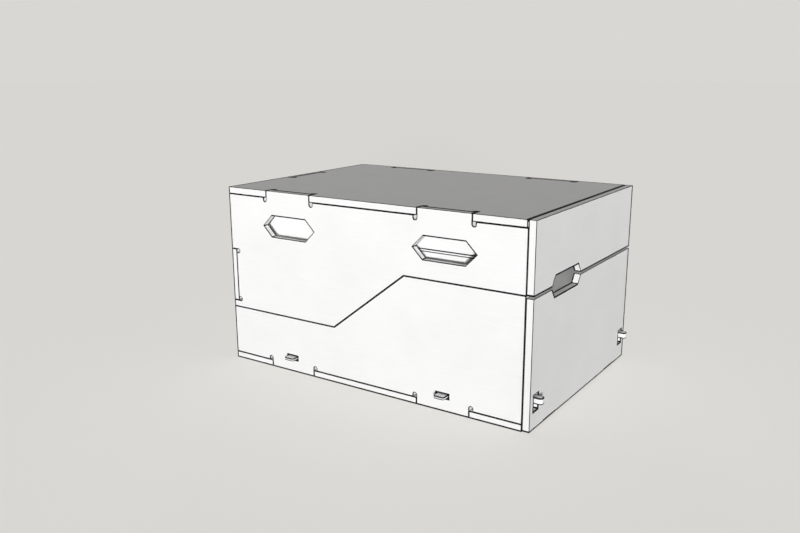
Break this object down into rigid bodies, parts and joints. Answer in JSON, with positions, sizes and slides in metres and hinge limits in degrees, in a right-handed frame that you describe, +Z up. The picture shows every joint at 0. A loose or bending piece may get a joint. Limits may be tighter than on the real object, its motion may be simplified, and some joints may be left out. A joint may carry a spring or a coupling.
{
  "type": "chuck box",
  "caption": "Finger-jointed camp kitchen box: stepped hinged lid with hexagonal hand-holes, drop flap at the end, lift-out shelf board and pull-out support arms.",
  "frame": {"origin": "centre of the closed box's underside, on the surface that it stands on", "axes": "+X towards the end with the flap, +Y from the front with the hand-holes to the back, +Z up"},
  "size_m": [0.7663, 0.515, 0.4],
  "materials": {
    "white_panel": "satin white face on plywood, edges rubbed black",
    "inner_plywood": "plain plywood",
    "arm_wood": "satin white paint on hardwood, edges rubbed black",
    "dowel_beech": "plain",
    "edge_strip": "satin white, edges rubbed black",
    "hinge_steel": "brushed",
    "painted_steel": "satin black paint",
    "pin_steel": "turned",
    "screw_steel": "zinc plated",
    "magnet_metal": "nickel plated",
    "catch_steel": "plain"
  },
  "bodies": {
    "base": {"base_bottom_panel": "white_panel", "base_front_panel": "white_panel", "base_back_panel": "white_panel", "base_left_panel": "white_panel", "base_corner_dowels": "dowel_beech", "divider_panel": "white_panel", "worktop_panel": "white_panel", "worktop_batten_front": "inner_plywood", "worktop_batten_back": "inner_plywood", "worktop_end_rail": "inner_plywood", "catch_magnets": "magnet_metal", "front_arm_guide_left": "inner_plywood", "front_arm_guide_right": "inner_plywood", "end_arm_guide_front": "inner_plywood", "end_arm_guide_back": "inner_plywood", "lid_hinge_base_leaf": "hinge_steel", "lid_hinge_pin": "pin_steel", "lid_hinge_base_screws": "screw_steel", "flap_hinge_base_leaves": "painted_steel", "flap_hinge_pins": "pin_steel", "flap_hinge_base_screws": "screw_steel"},
    "lid": {"lid_top_panel": "white_panel", "lid_front_panel": "white_panel", "lid_back_panel": "white_panel", "lid_left_panel": "white_panel", "lid_end_panel": "white_panel", "lid_end_dowels": "dowel_beech", "lid_hinge_lid_leaf": "hinge_steel", "lid_hinge_lid_screws": "screw_steel", "shelf_cleat_left": "inner_plywood", "shelf_cleat_right": "inner_plywood", "shelf_magnets": "magnet_metal"},
    "shelf": {"shelf_board": "white_panel", "shelf_strip": "edge_strip", "shelf_plates": "catch_steel"},
    "flap": {"end_flap": "white_panel", "catch_plates": "catch_steel", "flap_hinge_flap_leaves": "painted_steel", "flap_hinge_flap_screws": "screw_steel"},
    "front_arm_left_bar": {"front_arm_left": "arm_wood", "front_arm_left_stop": "pin_steel"},
    "front_arm_right_bar": {"front_arm_right": "arm_wood", "front_arm_right_stop": "pin_steel"},
    "end_arm_front_bar": {"end_arm_front": "arm_wood", "end_arm_front_stop": "pin_steel"},
    "end_arm_back_bar": {"end_arm_back": "arm_wood", "end_arm_back_stop": "pin_steel"}
  },
  "joints": [
    {"name": "lid_hinge", "type": "hinge", "parent": "base", "child": "lid", "pos_m": [-0.3758, 0, 0.125], "axis": [0, -1, 0], "range_deg": [0, 115]},
    {"name": "flap_hinge", "type": "hinge", "parent": "base", "child": "flap", "pos_m": [0.3698, 0, 0.003], "axis": [0, 1, 0], "range_deg": [0, 90]},
    {"name": "front_arm_left_slide", "type": "slide", "parent": "base", "child": "front_arm_left_bar", "axis": [0, -1, 0], "range_m": [0, 0.18]},
    {"name": "front_arm_right_slide", "type": "slide", "parent": "base", "child": "front_arm_right_bar", "axis": [0, -1, 0], "range_m": [0, 0.18]},
    {"name": "end_arm_front_slide", "type": "slide", "parent": "base", "child": "end_arm_front_bar", "axis": [1, 0, 0], "range_m": [0, 0.16]},
    {"name": "end_arm_back_slide", "type": "slide", "parent": "base", "child": "end_arm_back_bar", "axis": [1, 0, 0], "range_m": [0, 0.16]},
    {"name": "shelf_lift_out", "type": "slide", "parent": "lid", "child": "shelf", "axis": [0, 1, 0], "range_m": [0, 0.15]}
  ]
}
